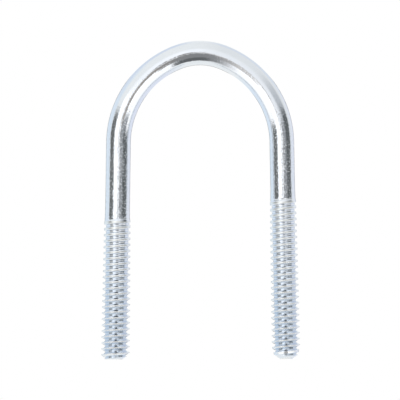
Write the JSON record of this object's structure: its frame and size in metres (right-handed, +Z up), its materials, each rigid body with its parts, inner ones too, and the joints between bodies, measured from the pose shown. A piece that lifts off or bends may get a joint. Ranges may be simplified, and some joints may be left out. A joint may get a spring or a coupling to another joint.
{
  "type": "u-bolt",
  "caption": "Round-bend U-bolt: one plated steel bar bent into a bow, with a rolled thread on the end of each slightly splayed leg.",
  "frame": {"origin": "midway between the two legs, level with the lowest rim of their ends", "axes": "+Z up through the crown of the bow, X across the two legs, Y through the bow"},
  "size_m": [0.0422, 0.006, 0.0676],
  "materials": {
    "zinc_plated_steel": "bright zinc plating, glossy, with fine drawing marks"
  },
  "bodies": {
    "root": {"u_bolt": "zinc_plated_steel"}
  },
  "joints": []
}
